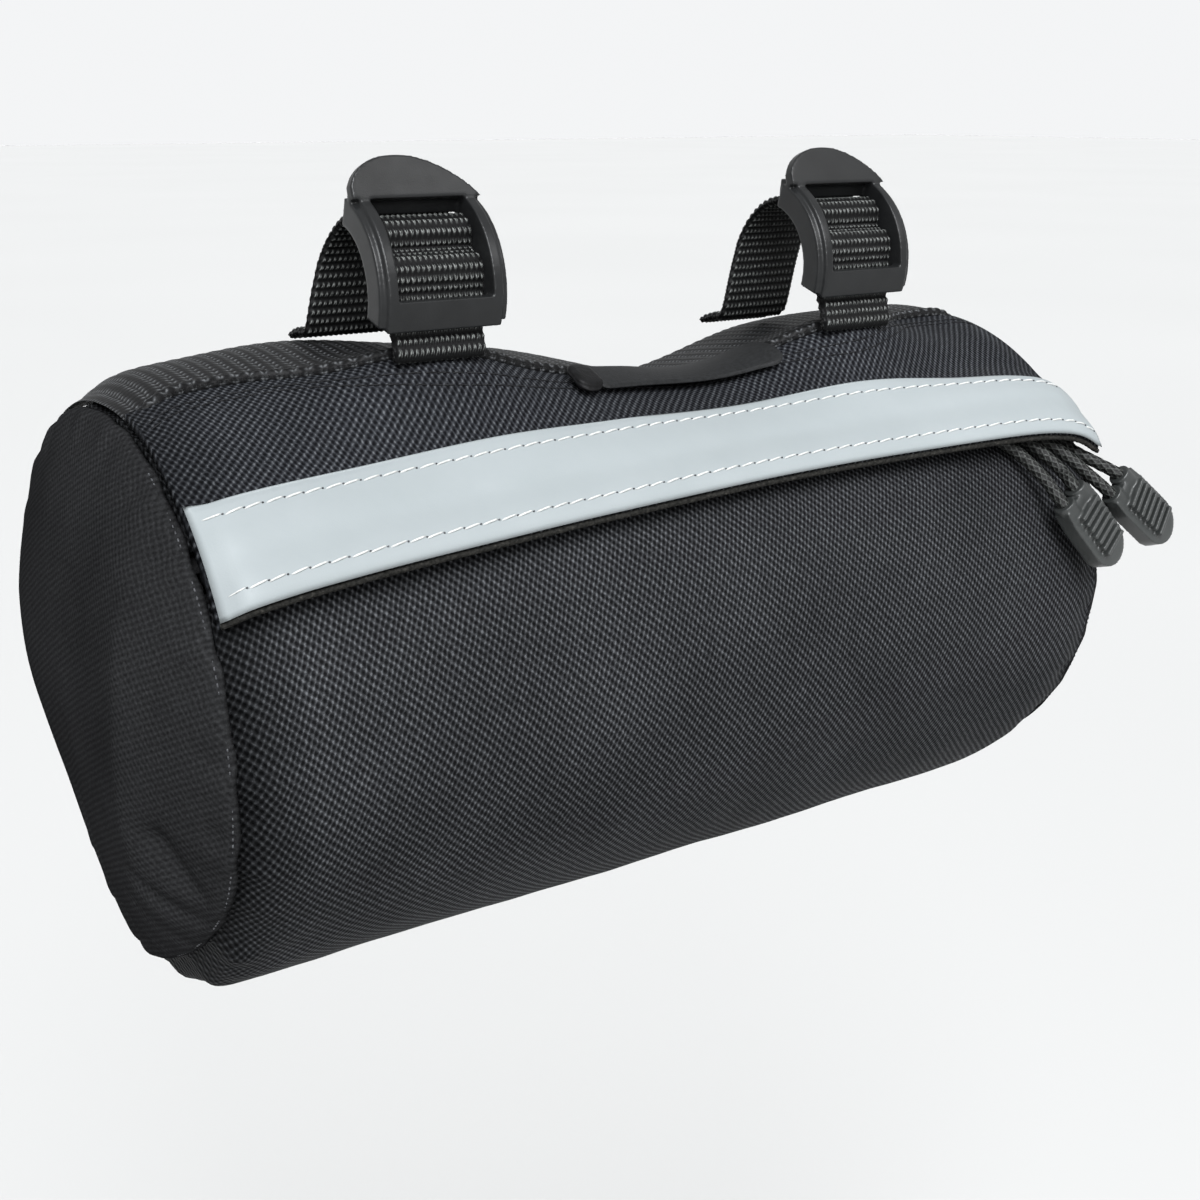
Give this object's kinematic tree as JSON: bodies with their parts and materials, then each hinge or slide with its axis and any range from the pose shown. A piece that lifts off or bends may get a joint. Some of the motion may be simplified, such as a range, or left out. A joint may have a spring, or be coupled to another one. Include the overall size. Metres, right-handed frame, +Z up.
{
  "type": "bicycle handlebar bag",
  "caption": "Small hollow cylindrical cloth bag for a bicycle handlebar, with a flap over its zip, a reflective strip and buckled webbing straps that hold it to the bar.",
  "frame": {"origin": "on the handlebar's axis, midway between the two strap loops", "axes": "+X along the handlebar, towards the end with the zip pulls; -Y the front, towards the flap and the reflective strip; +Z up"},
  "size_m": [0.2239, 0.117, 0.1467],
  "materials": {
    "nylon": "matt ballistic nylon weave",
    "reflective": "satin silver-grey reflective fabric",
    "zip_tape": "black woven tape and coil teeth",
    "zip_slider": "black painted die casting",
    "cord": "black braided cord",
    "plastic": "dark grey moulded plastic, satin",
    "webbing": "black woven webbing",
    "label": "dark grey smooth coated tape, bare"
  },
  "bodies": {
    "root": {"main_panel": "nylon", "end_panel_left": "nylon", "end_panel_right": "nylon", "flap": "nylon", "reflective_strip": "reflective", "zip_tape_upper": "zip_tape", "zip_tape_lower": "zip_tape", "zip_teeth": "zip_tape", "zip_slider_front": "zip_slider", "pull_cord_front": "cord", "pull_end_front": "plastic", "zip_slider_back": "zip_slider", "pull_cord_back": "cord", "pull_end_back": "plastic", "top_webbing": "webbing", "label_tab": "label", "strap_left": "webbing", "strap_tab_left": "webbing", "buckle_left": "plastic", "strap_right": "webbing", "strap_tab_right": "webbing", "buckle_right": "plastic"}
  },
  "joints": []
}
